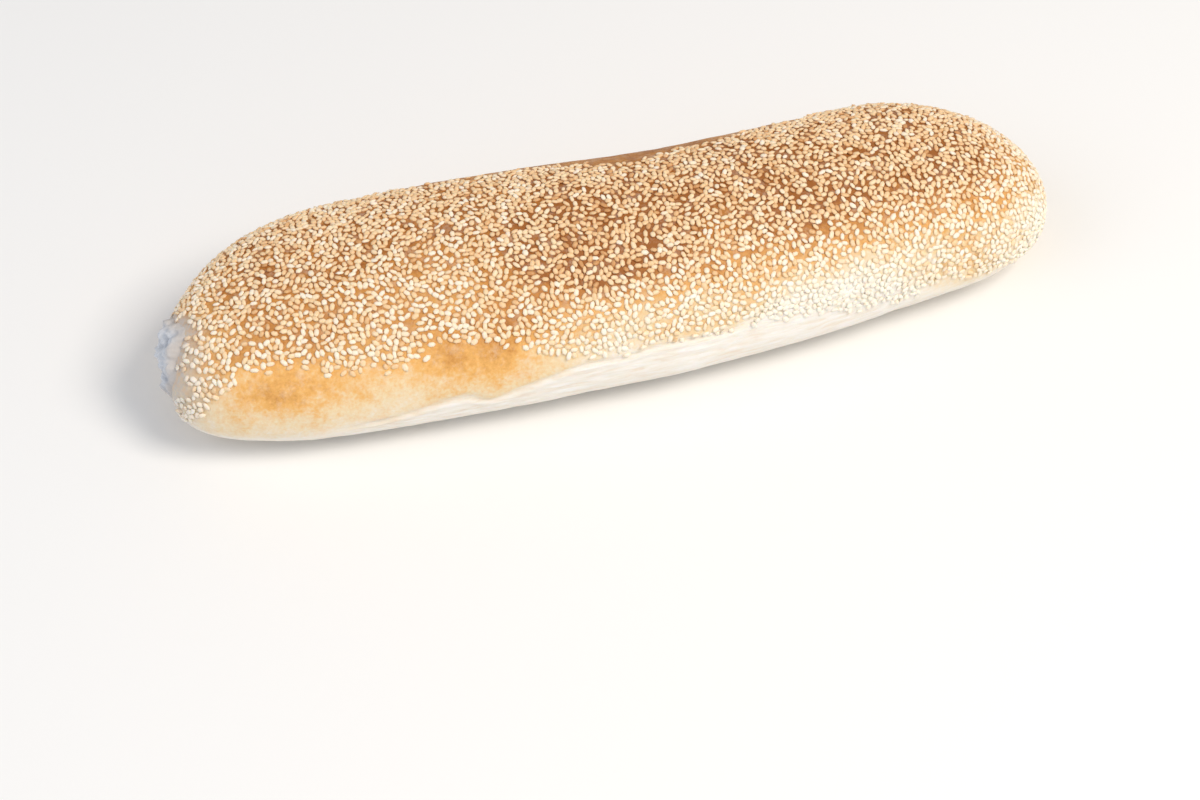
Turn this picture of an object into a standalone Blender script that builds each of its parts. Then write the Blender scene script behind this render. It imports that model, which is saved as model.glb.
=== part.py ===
"""A long, low-domed loaf strewn with sesame seeds, one solid lying on its flat base.

Units are metres. +X runs along the loaf towards its plain end, -Y is its front, and +Z is up.
The origin is on the floor, under the middle of the loaf's box.
"""

import math
import random

import bmesh
import bpy
from mathutils import Matrix, Vector, noise
from mathutils.bvhtree import BVHTree

# The loaf as a whole
LENGTH = 0.360
WIDTH = 0.1066
HEIGHT = 0.064
WIDEST_LEVEL = 0.42  # height of the widest line at mid length, as a share of HEIGHT
TIP_LEVEL = 0.38  # and at the two tips
BASE_SINK = 0.0035  # how far the round underside would reach below the floor; it is flattened there

# Plan: a superellipse with its own roundness at each end, drawn in a little towards both
TORN_END_ROUNDNESS = (4.1, 2.72)
PLAIN_END_ROUNDNESS = (5.37, 2.10)
DRAWN_IN = 0.12
TAPER = 0.029
AXIS_SWAY = 0.0147
TORN_END_HOOK = 0.0261
PLAIN_END_HOOK = 0.0167
MIDDLE_SHIFT = (0.0007, -0.0005)  # sets the middle of the loaf's box over the origin

# Section: a superellipse in three parts
SIDE_ROUNDNESS = 2.05
TOP_ROUNDNESS = 2.1
UNDER_ROUNDNESS = 2.6

# Gentle swellings and dips of the hand-shaped dough: place along, degrees round, rise.
# Degrees run from the front side (0) over the top (90) to the back (180).
SWELLINGS = (
    (-0.140, 146, 0.0025),
    (0.030, 146, -0.0025),
    (0.085, 146, -0.0020),
    (0.130, 146, 0.0015),
    (-0.130, -26, 0.0025),
    (-0.020, -26, -0.0010),
    (0.045, -26, -0.0015),
    (0.115, -26, -0.0030),
)
SWELLING_REACH = 0.038
SWELLING_REACH_ROUND = math.radians(38)

# The solid's mesh
FACES_ROUND = 32
FACES_ALONG = 40

# The torn spot on the tip, where the crust came off. Unevenness is given as (size of a bump, its
# height).
TEAR_ASIDE = 0.007  # middle of the spot, from the very tip towards the back
TEAR_LEVEL = 0.033
TEAR_TURNED = math.radians(6)  # the way the spot faces: from -X towards the back, and upwards
TEAR_RAISED = math.radians(15)
TEAR_RADIUS = 0.015
TEAR_RAGGED = ((0.0090, 0.0050), (0.0034, 0.0022))
TEAR_REACH = 0.030  # the spot is sought no deeper in the loaf than this

# The stub of crumb that stands out of it
STUB_RISE = 0.0024
STUB_CRUMPLE = ((0.0075, 0.0024), (0.0034, 0.0018))
STUB_CRUMPLE_LAYER = 1.0  # moves the noise, so that it isn't that of the ragged edge
STUB_RIM_SHARE = 0.16  # the slope at its edge, as a share of its radius
STUB_RIM_SINK = 0.0006
STUB_ROOT = 0.003
STUB_FACES_ROUND = 36
STUB_FACES_OUT = 7

# Sesame seeds: the largest of the covering, fused to the crust
SEED_LENGTH = 0.0038
SEED_WIDTH = 0.0022
SEED_THICKNESS = 0.0018
SEED_SINK = 0.0002  # centre of the seed below the crust
SEED_POINT = 0.5  # how strongly a seed narrows to its point
SEED_SIZES = (0.9, 1.06)  # smallest and largest, as shares of the sizes above
SEED_SPACING = 0.0090
SEED_SIDES = 6
SEED_RINGS = 4
SEED_TRIES = 30000
SEEDED_ARC = (-35.0, 215.0)  # degrees round within which seeds are tried
BASE_CLEARANCE = 0.012  # no seed is lower than this

# Edges of the seeded top: degrees round over places along. They waver, and near the tips they
# part until the seeds go all the way round.
FRONT_EDGE = (
    (-0.176, 10),
    (-0.170, 14),
    (-0.162, 31),
    (-0.154, 39),
    (-0.136, 36),
    (-0.120, 30),
    (-0.096, 26),
    (-0.088, 28),
    (-0.080, 37),
    (-0.070, 33),
    (-0.050, 30),
    (-0.040, 19),
    (-0.026, 14),
    (0.055, 12),
    (0.078, 2),
    (0.118, -3),
    (0.130, 1),
    (0.145, -3),
    (0.162, -14),
    (0.175, -22),
)
BACK_EDGE = (
    (-0.110, 148),
    (-0.070, 136),
    (-0.015, 130),
    (0.010, 116),
    (0.045, 124),
    (0.115, 150),
)
EDGE_WAVER = 4
WAVERS_PER_METRE = 45
EDGE_PARTING = 90
EDGE_PARTING_POWER = 3  # the higher, the nearer to the tip the edges part

CRUST_COLOUR = (0.60, 0.31, 0.115, 1.0)
CRUST_ROUGHNESS = 0.65
SHARP_EDGE = math.radians(35)  # flatter edges are shaded smooth


def clear_scene():
    """Take every object out of the scene."""
    for item in list(bpy.data.objects):
        bpy.data.objects.remove(item, do_unlink=True)


def signed_power(value, exponent):
    """Power of a value's size, with the value's own sign."""
    return math.copysign(abs(value) ** exponent, value)


def girth(u):
    """Share of the full section left at u, which runs from -1 at the torn tip to 1 at the plain one."""
    shoulder, nose = TORN_END_ROUNDNESS if u < 0 else PLAIN_END_ROUNDNESS
    return max(1.0 - abs(u) ** shoulder, 0.0) ** (1.0 / nose)


def wrapped(angle):
    """The same angle, between half a turn back and half a turn on."""
    return (angle + math.pi) % math.tau - math.pi


def swelling(x, angle):
    """Rise of the dough at a place along and an angle round: smooth humps and hollows."""
    total = 0.0
    for place, degrees, rise in SWELLINGS:
        along = (x - place) / SWELLING_REACH
        around = wrapped(angle - math.radians(degrees)) / SWELLING_REACH_ROUND
        total += rise * math.exp(-(along**2) - around**2)
    return total


def loaf_point(u, angle):
    """Point of the crust at u along the loaf and angle round it, from the front over the top."""
    across, upward = math.cos(angle), math.sin(angle)
    share = girth(u)
    half_width = WIDTH / 2 * share * (1 - TAPER * u - DRAWN_IN * u**2)
    hook = TORN_END_HOOK if u < 0 else PLAIN_END_HOOK
    centre_y = MIDDLE_SHIFT[1] + AXIS_SWAY * u**2 - hook * u**4
    level = HEIGHT * (TIP_LEVEL + (WIDEST_LEVEL - TIP_LEVEL) * share)
    x = MIDDLE_SHIFT[0] + u * LENGTH / 2
    y = centre_y - half_width * signed_power(across, 2 / SIDE_ROUNDNESS)
    if upward >= 0:
        z = level + HEIGHT * (1 - WIDEST_LEVEL) * share * upward ** (2 / TOP_ROUNDNESS)
    else:
        depth = HEIGHT * WIDEST_LEVEL + BASE_SINK
        z = level - depth * share * (-upward) ** (2 / UNDER_ROUNDNESS)
    rise = swelling(x, angle) * share
    return Vector((x, y - across * rise, max(z + upward * rise, 0.0)))


def roughness(point, grains, layer=0.0):
    """Height at a point of bumps of several sizes."""
    shift = Vector((layer, layer, layer))
    return sum(height * noise.noise(point / size + shift) for size, height in grains)


def tear_frame():
    """The torn spot's middle, and the ways across it, up it and out of it."""
    tip = loaf_point(-1.0, 0.0)
    centre = Vector((tip.x, tip.y + TEAR_ASIDE, TEAR_LEVEL))
    across = Vector((-math.sin(TEAR_TURNED), -math.cos(TEAR_TURNED), 0.0))
    level = Vector((-math.cos(TEAR_TURNED), math.sin(TEAR_TURNED), 0.0))
    out = level * math.cos(TEAR_RAISED) + Vector((0.0, 0.0, math.sin(TEAR_RAISED)))
    return centre, across, out.cross(across), out


def tear_edge(around):
    """Radius of the spot's ragged edge at an angle around its middle."""
    centre, across, upward, _ = tear_frame()
    ring = centre + TEAR_RADIUS * (math.cos(around) * across + math.sin(around) * upward)
    return TEAR_RADIUS + roughness(ring, TEAR_RAGGED)


def tear_depth(point):
    """How far inside the spot's ragged edge a point lies; negative outside it."""
    centre, *ways = tear_frame()
    across, upward, out = ((point - centre).dot(way) for way in ways)
    if out < -TEAR_REACH:
        return -TEAR_REACH
    return tear_edge(math.atan2(upward, across)) - math.hypot(across, upward)


def loaf_mesh():
    """The bare loaf: a sphere turned with its poles to the tips and drawn out to the loaf's form."""
    mesh = bmesh.new()
    bmesh.ops.create_uvsphere(mesh, u_segments=FACES_ROUND, v_segments=FACES_ALONG, radius=1.0)
    bmesh.ops.rotate(mesh, verts=mesh.verts, matrix=Matrix.Rotation(math.pi / 2, 3, "Y"))
    for vertex in mesh.verts:
        u = min(max(vertex.co.x, -1.0), 1.0)
        vertex.co = loaf_point(u, math.atan2(vertex.co.z, -vertex.co.y))
    base = [face for face in mesh.faces if all(vertex.co.z == 0.0 for vertex in face.verts)]
    bmesh.ops.dissolve_faces(mesh, faces=base, use_verts=True)
    bmesh.ops.recalc_face_normals(mesh, faces=mesh.faces)
    return mesh


def along_curve(curve, x):
    """Reads a curve of (place, value) points, in order, at x; level beyond its ends."""
    before = curve[0]
    for after in curve:
        if x < after[0]:
            span = after[0] - before[0]
            share = (x - before[0]) / span if span else 0.0
            return before[1] + share * (after[1] - before[1])
        before = after
    return before[1]


def is_seeded(point, u, angle):
    """Whether seeds cover the crust at a point: on the top, clear of the base and of the tear."""
    if point.z < BASE_CLEARANCE or tear_depth(point) > -SEED_WIDTH:
        return False
    waver = EDGE_WAVER * noise.noise(Vector((point.x * WAVERS_PER_METRE, angle, 0.0)))
    parting = EDGE_PARTING * (1 - girth(u)) ** EDGE_PARTING_POWER
    front = along_curve(FRONT_EDGE, point.x) - parting + waver
    back = along_curve(BACK_EDGE, point.x) + parting + waver
    return front < math.degrees(angle) < back


def seed_mesh(draw):
    """One seed: a six-sided lens, narrowed to a point at one end, on the plane of the crust."""
    mesh = bmesh.new()
    bmesh.ops.create_uvsphere(mesh, u_segments=SEED_SIDES, v_segments=SEED_RINGS, radius=0.5)
    scale = Vector((SEED_LENGTH, SEED_WIDTH, SEED_THICKNESS)) * draw.uniform(*SEED_SIZES)
    for vertex in mesh.verts:
        # As perspective does, this narrows one end and keeps every facet flat.
        vertex.co /= 1.0 + SEED_POINT * vertex.co.x
    bmesh.ops.scale(mesh, verts=mesh.verts, vec=scale)
    return mesh


def smooth_step(share):
    """From 0 to 1 with a level start and end."""
    return share**2 * (3 - 2 * share)


def stub_mesh(crust):
    """The torn stub: a sphere pressed flat on the crust, its upper half crumpled, its lower half
    rooted in the loaf, and its equator on the tear's ragged edge.
    """
    mesh = bmesh.new()
    rings = 2 * STUB_FACES_OUT
    bmesh.ops.create_uvsphere(mesh, u_segments=STUB_FACES_ROUND, v_segments=rings, radius=1.0)
    centre, across, upward, out = tear_frame()
    for vertex in mesh.verts:
        from_pole = math.acos(min(max(vertex.co.z, -1.0), 1.0)) / (math.pi / 2)
        share = 1.0 - abs(from_pole - 1.0)
        around = math.atan2(vertex.co.y, vertex.co.x)
        reach = share * tear_edge(around)
        spot = centre + reach * (math.cos(around) * across + math.sin(around) * upward)
        place, _, _, _ = crust.ray_cast(spot + TEAR_REACH * out, -out)
        crumple = roughness(place, STUB_CRUMPLE, STUB_CRUMPLE_LAYER)
        height = STUB_RISE + crumple if from_pole < 1.0 else -STUB_ROOT
        slope = smooth_step(min((1.0 - share) / STUB_RIM_SHARE, 1.0))
        vertex.co = place + (height * slope - STUB_RIM_SINK) * out
    bmesh.ops.recalc_face_normals(mesh, faces=mesh.faces)
    return mesh


def placement(location, normal, turn):
    """Matrix that lays a piece on the crust at location, its own Z along the crust's normal."""
    upright = normal.to_track_quat("Z", "X").to_matrix().to_4x4()
    return Matrix.Translation(location) @ upright @ Matrix.Rotation(turn, 4, "Z")


def add_piece(collection, name, mesh, matrix):
    """Turn a mesh into an object of the collection, at the place that the matrix gives."""
    bmesh.ops.transform(mesh, matrix=matrix, verts=mesh.verts)
    data = bpy.data.meshes.new(name)
    mesh.to_mesh(data)
    mesh.free()
    collection.objects.link(bpy.data.objects.new(name, data))


def add_seeds(collection, crust, draw):
    """Seeds spread evenly over the seeded top, no two nearer than SEED_SPACING."""
    placed = []
    for _ in range(SEED_TRIES):
        u = draw.uniform(-1.0, 1.0)
        angle = math.radians(draw.uniform(*SEEDED_ARC))
        point, normal, _, _ = crust.find_nearest(loaf_point(u, angle))
        if not is_seeded(point, u, angle):
            continue
        if any((point - other).length < SEED_SPACING for other in placed):
            continue
        placed.append(point)
        matrix = placement(point - normal * SEED_SINK, normal, draw.uniform(0.0, math.tau))
        add_piece(collection, "seed", seed_mesh(draw), matrix)


def fuse(loaf, collection):
    """Join every piece of the collection to the loaf, apply the join and remove the pieces."""
    union = loaf.modifiers.new("toppings", "BOOLEAN")
    union.operation = "UNION"
    union.operand_type = "COLLECTION"
    union.collection = collection
    union.solver = "EXACT"
    graph = bpy.context.evaluated_depsgraph_get()
    fused = bpy.data.meshes.new_from_object(loaf.evaluated_get(graph))
    loaf.modifiers.clear()
    loaf.data = fused
    for item in list(collection.objects):
        bpy.data.objects.remove(item, do_unlink=True)
    bpy.data.collections.remove(collection)


def crust_material():
    """Baked crust, satin to matte."""
    material = bpy.data.materials.new("golden crust")
    material.use_nodes = True
    shader = material.node_tree.nodes["Principled BSDF"]
    shader.inputs["Base Color"].default_value = CRUST_COLOUR
    shader.inputs["Roughness"].default_value = CRUST_ROUGHNESS
    shader.inputs["Metallic"].default_value = 0.0
    return material


def build():
    """Model the loaf, then fuse the stub and the seeds to it."""
    clear_scene()
    body = loaf_mesh()
    crust = BVHTree.FromBMesh(body)
    data = bpy.data.meshes.new("loaf")
    body.to_mesh(data)
    body.free()
    loaf = bpy.data.objects.new("loaf", data)
    bpy.context.scene.collection.objects.link(loaf)

    toppings = bpy.data.collections.new("toppings")
    bpy.context.scene.collection.children.link(toppings)
    add_piece(toppings, "stub", stub_mesh(crust), Matrix.Identity(4))
    add_seeds(toppings, crust, random.Random(11))
    fuse(loaf, toppings)

    loaf.data.materials.clear()
    loaf.data.materials.append(crust_material())
    loaf.data.shade_smooth()
    loaf.data.set_sharp_from_angle(angle=SHARP_EDGE)


build()
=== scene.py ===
"""Looks of a sesame baguette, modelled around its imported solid.

Lengths are metres unless a name says otherwise. +X runs along the loaf to its plain end, -Y is
its front and +Z is up. Places round the loaf are degrees: 0 at the front, 90 on top, 180 at the
back and -90 underneath.
"""

import logging
import math
from dataclasses import dataclass
from enum import Enum
from functools import partial
from itertools import product
from typing import Any, Callable, Iterable

import bmesh
import bpy
import numpy as np
from mathutils import Matrix, Vector, noise
from mathutils.bvhtree import BVHTree
from mathutils.kdtree import KDTree


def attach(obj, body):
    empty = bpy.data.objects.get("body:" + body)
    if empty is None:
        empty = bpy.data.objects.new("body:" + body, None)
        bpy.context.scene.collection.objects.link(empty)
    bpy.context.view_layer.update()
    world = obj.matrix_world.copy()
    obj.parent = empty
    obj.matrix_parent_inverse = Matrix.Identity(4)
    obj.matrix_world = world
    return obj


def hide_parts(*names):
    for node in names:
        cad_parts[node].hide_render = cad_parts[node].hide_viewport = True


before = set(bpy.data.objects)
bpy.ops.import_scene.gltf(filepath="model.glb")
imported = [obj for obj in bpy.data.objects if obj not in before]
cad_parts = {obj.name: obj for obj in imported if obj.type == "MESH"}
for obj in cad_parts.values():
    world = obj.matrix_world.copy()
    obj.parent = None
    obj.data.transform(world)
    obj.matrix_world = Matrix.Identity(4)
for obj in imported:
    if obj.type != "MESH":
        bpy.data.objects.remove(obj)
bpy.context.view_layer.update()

LOG = logging.getLogger("sesame_baguette")

BODY = "root"
LOAF_NODE = "loaf"
MM = 0.001
FULL_TURN = 360.0
UNDERNEATH = -90.0
# Places are rounded to this many digits, so that a different last digit on another computer
# hardly ever changes which seeds stick.
KEPT_DIGITS = 7
# A Mix node's inputs for colours have the same names as those for numbers.
MIX_A, MIX_B = 6, 7

Colour = tuple[float, float, float, float]
Pair = tuple[float, float]
Place = tuple[float, float, float]
Curve = tuple[Pair, ...]
Grains = tuple[Pair, ...]
Rows = tuple[tuple[float, ...], ...]
Array = np.ndarray
Mesh = bpy.types.Mesh
Piece = bpy.types.Object
Socket = bpy.types.NodeSocket
Node = bpy.types.Node
Adder = Callable[..., Node]


def linear(hex_colour: str) -> Colour:
    """Turns an sRGB hex colour into linear light.

    Args:
        hex_colour: Six hex digits, such as "e8b878".

    Returns:
        Red, green, blue and an alpha of 1.
    """
    channels = [int(hex_colour[i : i + 2], 16) / 255 for i in (0, 2, 4)]
    light = [c / 12.92 if c <= 0.04045 else ((c + 0.055) / 1.055) ** 2.4 for c in channels]
    return (light[0], light[1], light[2], 1.0)


def per_metre(size_mm: float) -> float:
    """Scale of a pattern on Object coordinates whose grains are size_mm across."""
    return 1.0 / (size_mm * MM)


def add_node(
    tree: bpy.types.NodeTree,
    kind: str,
    inputs: dict[Any, Any] | None = None,
    stops: Iterable[tuple[float, Colour]] = (),
    **settings: Any,
) -> Node:
    """Adds a node with its settings and links.

    Args:
        tree: The material's node tree.
        kind: The node's type name.
        inputs: For each input, by name or number, a constant or what feeds it: a socket, or a
            node, which stands for the first of its outputs that is in use.
        stops: Places and colours of a colour ramp.
        **settings: Properties of the node.

    Returns:
        The node.
    """
    node = tree.nodes.new(kind)
    for name, value in settings.items():
        setattr(node, name, value)
    for key, value in (inputs or {}).items():
        if isinstance(value, Node):
            value = next(socket for socket in value.outputs if socket.enabled)
        if isinstance(value, Socket):
            tree.links.new(value, node.inputs[key])
        else:
            node.inputs[key].default_value = value
    stops = list(stops)
    if stops:
        ramp = node.color_ramp.elements
        while len(ramp) < len(stops):
            ramp.new(1.0)
        for element, (place, colour) in zip(ramp, stops):
            element.position = place
            element.color = colour
    return node


def new_material(name: str) -> tuple[bpy.types.Material, Adder]:
    """Makes an empty node material.

    Args:
        name: The material's name.

    Returns:
        The material, and add_node for its node tree.
    """
    material = bpy.data.materials.new(name)
    material.use_nodes = True
    material.node_tree.nodes.clear()
    return material, partial(add_node, material.node_tree)


def bumps(points: Array, size: float, layer: float = 0.0) -> Array:
    """Smooth noise with bumps about size across.

    Args:
        points: Places, one in each row.
        size: Width of a bump.
        layer: Moves the noise, so that two of one size differ.

    Returns:
        One value for each place, about as often below 0 as above it.
    """
    shifted = points / size + layer
    return np.array([noise.noise(Vector(place)) for place in shifted])


def rough(points: Array, grains: Grains, layer: float = 0.0) -> Array:
    """Adds up bumps of several sizes, each given as (size, height)."""
    return sum(height * bumps(points, size, layer) for size, height in grains)


def lying_sphere(faces_round: int, faces_along: int) -> bmesh.types.BMesh:
    """Makes a unit sphere with its poles on the X axis.

    Args:
        faces_round: Faces in a ring round the axis.
        faces_along: Rings from pole to pole.

    Returns:
        The sphere.
    """
    shape = bmesh.new()
    bmesh.ops.create_uvsphere(shape, u_segments=faces_round, v_segments=faces_along, radius=1.0)
    bmesh.ops.rotate(shape, verts=shape.verts, matrix=Matrix.Rotation(math.pi / 2, 3, "Y"))
    return shape


def mesh_from(shape: bmesh.types.BMesh, name: str) -> Mesh:
    """Turns a shape into a mesh, and frees the shape.

    Args:
        shape: The shape.
        name: The mesh's name.

    Returns:
        The mesh.
    """
    mesh = bpy.data.meshes.new(name)
    shape.to_mesh(mesh)
    shape.free()
    return mesh


def mark(mesh: Mesh, name: str, values: Array) -> None:
    """Stores one number for each vertex under a name that materials read."""
    attribute = mesh.attributes.new(name, "FLOAT", "POINT")
    attribute.data.foreach_set("value", values.astype(np.float32))


def add_piece(mesh: Mesh, name: str, finish: bpy.types.Material) -> Piece:
    """Dresses a mesh and puts it on the loaf, in place of its solid.

    Args:
        mesh: The piece's mesh.
        name: The piece's name.
        finish: The piece's material.

    Returns:
        The finished piece, riding on the loaf's body.
    """
    mesh.shade_smooth()
    mesh.materials.append(finish)
    piece = bpy.data.objects.new(name, mesh)
    bpy.context.scene.collection.objects.link(piece)
    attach(piece, BODY)
    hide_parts(LOAF_NODE)
    return piece


def places_of(vertices: Iterable[Any]) -> Array:
    """Where vertices are, one in each row."""
    return np.array([vertex.co[:] for vertex in vertices])


def corners_of(mesh: Mesh) -> Array:
    """Cuts a mesh's faces into triangles.

    A new sphere's faces come in another order each run, so each is read from its lowest vertex
    on, and the triangles are sorted.

    Args:
        mesh: The mesh.

    Returns:
        The numbers of each triangle's three vertices, in its row.
    """
    triangles = []
    for face in mesh.polygons:
        ring = list(face.vertices)
        lowest = ring.index(min(ring))
        first, *others = ring[lowest:] + ring[:lowest]
        triangles += [(first, *pair) for pair in zip(others, others[1:])]
    return np.array(sorted(triangles))


def normals_of(places: Array, corners: Array) -> Array:
    """Works out each vertex's normal from the triangles round it, the same each run.

    Args:
        places: The vertices, one in each row.
        corners: The triangles, as the numbers of their vertices.

    Returns:
        One normal in each row.
    """
    a, b, c = (places[corners[:, i]] for i in range(3))
    lent = np.repeat(np.cross(b - a, c - a), 3, axis=0)
    total = np.stack([np.bincount(corners.ravel(), part, len(places)) for part in lent.T], axis=-1)
    return total / np.linalg.norm(total, axis=1, keepdims=True)


def smooth_step(low: float, high: float, value: Array) -> Array:
    """Rises smoothly from 0 where value is low to 1 where it is high."""
    share = np.clip((value - low) / (high - low), 0.0, 1.0)
    return share * share * (3.0 - 2.0 * share)


def along_curve(curve: Curve, at: Array) -> Array:
    """Reads a curve, given as (place, value) points in order, at each place."""
    places, values = zip(*curve)
    return np.interp(at, places, values)


def wrapped(degrees: Array) -> Array:
    """The same directions between -180 and 180 degrees."""
    return (degrees + FULL_TURN / 2) % FULL_TURN - FULL_TURN / 2


@dataclass(frozen=True)
class LoafForm:
    """The loaf's outer form, from the same sizes as its solid."""

    length: float = 0.360
    width: float = 0.1066
    height: float = 0.064
    widest_level: float = 0.42
    tip_level: float = 0.38
    base_sink: float = 0.0035
    # How square each end's shoulders are, and how blunt its tip.
    torn_end_roundness: Pair = (4.1, 2.72)
    plain_end_roundness: Pair = (5.37, 2.10)
    drawn_in: float = 0.12
    taper: float = 0.029
    axis_sway: float = 0.0147
    torn_end_hook: float = 0.0261
    plain_end_hook: float = 0.0167
    middle_shift: Pair = (0.0007, -0.0005)
    side_roundness: float = 2.05
    top_roundness: float = 2.1
    under_roundness: float = 2.6
    # Place along the loaf, degrees round it, and rise.
    swellings: Rows = (
        (-0.140, 146, 0.0025), (0.030, 146, -0.0025), (0.085, 146, -0.0020), (0.130, 146, 0.0015),
        (-0.130, -26, 0.0025), (-0.020, -26, -0.0010), (0.045, -26, -0.0015), (0.115, -26, -0.0030),
    )
    swelling_reach: float = 0.038
    swelling_reach_degrees: float = 38.0

    def girth(self, u: Array) -> Array:
        """Share of the full section that is left along the loaf.

        Args:
            u: Places along it, from -1 at the torn tip to 1 at the plain one.

        Returns:
            The share at each place, 0 at the tips.
        """
        torn = u < 0
        shoulder = np.where(torn, self.torn_end_roundness[0], self.plain_end_roundness[0])
        nose = np.where(torn, self.torn_end_roundness[1], self.plain_end_roundness[1])
        return np.maximum(1.0 - np.abs(u) ** shoulder, 0.0) ** (1.0 / nose)

    def swelling(self, x: Array, degrees: Array) -> Array:
        """Rise of the hand-shaped dough's swellings and dips.

        Args:
            x: Places along the loaf.
            degrees: Places round it.

        Returns:
            How far each place stands out of the even form.
        """
        total = np.zeros_like(x)
        for place, centre, rise in self.swellings:
            along = (x - place) / self.swelling_reach
            around = wrapped(degrees - centre) / self.swelling_reach_degrees
            total += rise * np.exp(-(along**2) - around**2)
        return total

    def surface(self, u: Array, degrees: Array) -> Array:
        """Places on the smooth crust.

        Args:
            u: Places along the loaf, from -1 to 1.
            degrees: Places round it.

        Returns:
            One place in each row.
        """
        across, upward = np.cos(np.radians(degrees)), np.sin(np.radians(degrees))
        share = self.girth(u)
        half_width = self.width / 2 * share * (1 - self.taper * u - self.drawn_in * u**2)
        hook = np.where(u < 0, self.torn_end_hook, self.plain_end_hook)
        centre_y = self.middle_shift[1] + self.axis_sway * u**2 - hook * u**4
        level = self.height * (self.tip_level + (self.widest_level - self.tip_level) * share)
        x = self.middle_shift[0] + u * self.length / 2
        y = centre_y - half_width * np.sign(across) * np.abs(across) ** (2 / self.side_roundness)
        over = self.height * (1 - self.widest_level) * np.abs(upward) ** (2 / self.top_roundness)
        depth = self.height * self.widest_level + self.base_sink
        under = depth * np.abs(upward) ** (2 / self.under_roundness)
        z = level + share * np.where(upward >= 0, over, -under)
        rise = self.swelling(x, degrees) * share
        return np.stack([x, y - across * rise, np.maximum(z + upward * rise, 0.0)], axis=-1)


@dataclass(frozen=True)
class Tear:
    """The torn spot on the tip at -X, as its ragged edge seen straight on."""

    form: LoafForm
    aside: float = 0.007
    level: float = 0.033
    turned_degrees: float = 6.0
    raised_degrees: float = 15.0
    radius: float = 0.0150
    ragged: Grains = ((0.0090, 0.0050), (0.0034, 0.0022))
    reach: float = 0.030
    # The crust round the spot is greyed, partly by scuffs and partly by painted shade, furthest on its
    # lower front side.
    scuff_reach: float = 0.0035
    scuff_further: float = 0.0170
    scuff_towards_degrees: float = -10.0

    def centre(self) -> Array:
        """Middle of the spot."""
        tip = self.form.surface(np.array([-1.0]), np.array([0.0]))[0]
        return np.array([tip[0], tip[1] + self.aside, self.level])

    def axes(self) -> tuple[Array, Array, Array]:
        """Works out which way the spot faces.

        Returns:
            The ways across the spot, up it and out of it.
        """
        turned, raised = math.radians(self.turned_degrees), math.radians(self.raised_degrees)
        level = np.array([-math.cos(turned), math.sin(turned), 0.0])
        across = np.array([-math.sin(turned), -math.cos(turned), 0.0])
        out = level * math.cos(raised) + np.array([0.0, 0.0, math.sin(raised)])
        return across, np.cross(out, across), out

    def edge(self, around: Array) -> Array:
        """Radius of the ragged edge at each angle, in radians, around the middle."""
        across, upward, _ = self.axes()
        ring = np.cos(around)[:, None] * across + np.sin(around)[:, None] * upward
        return self.radius + rough(self.centre() + self.radius * ring, self.ragged)

    def depth(self, points: Array) -> Array:
        """How far inside the ragged edge each place lies; negative outside it."""
        distance, around, out = self._seen(points)
        return np.where(out > -self.reach, self.edge(around) - distance, -self.reach)

    def scuffed_and_shaded(self, points: Array) -> Array:
        """Finds where the crust round the spot is greyed by scuffs and painted shade.

        Args:
            points: Places, one in each row.

        Returns:
            A share for each place, from 0 to 1 at the ragged edge.
        """
        distance, around, out = self._seen(points)
        towards = 0.5 + 0.5 * np.cos(around - math.radians(self.scuff_towards_degrees))
        reach = self.scuff_reach + self.scuff_further * towards**2
        share = 1.0 - smooth_step(0.0, 1.0, (distance - self.edge(around)) / reach)
        return np.where(out > -self.reach, share, 0.0)

    def _seen(self, points: Array) -> tuple[Array, Array, Array]:
        """Places as seen straight on: distance from the middle, angle around it, and height."""
        moved = points - self.centre()
        across, upward, out = (moved @ axis for axis in self.axes())
        return np.hypot(across, upward), np.arctan2(upward, across), out


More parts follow.
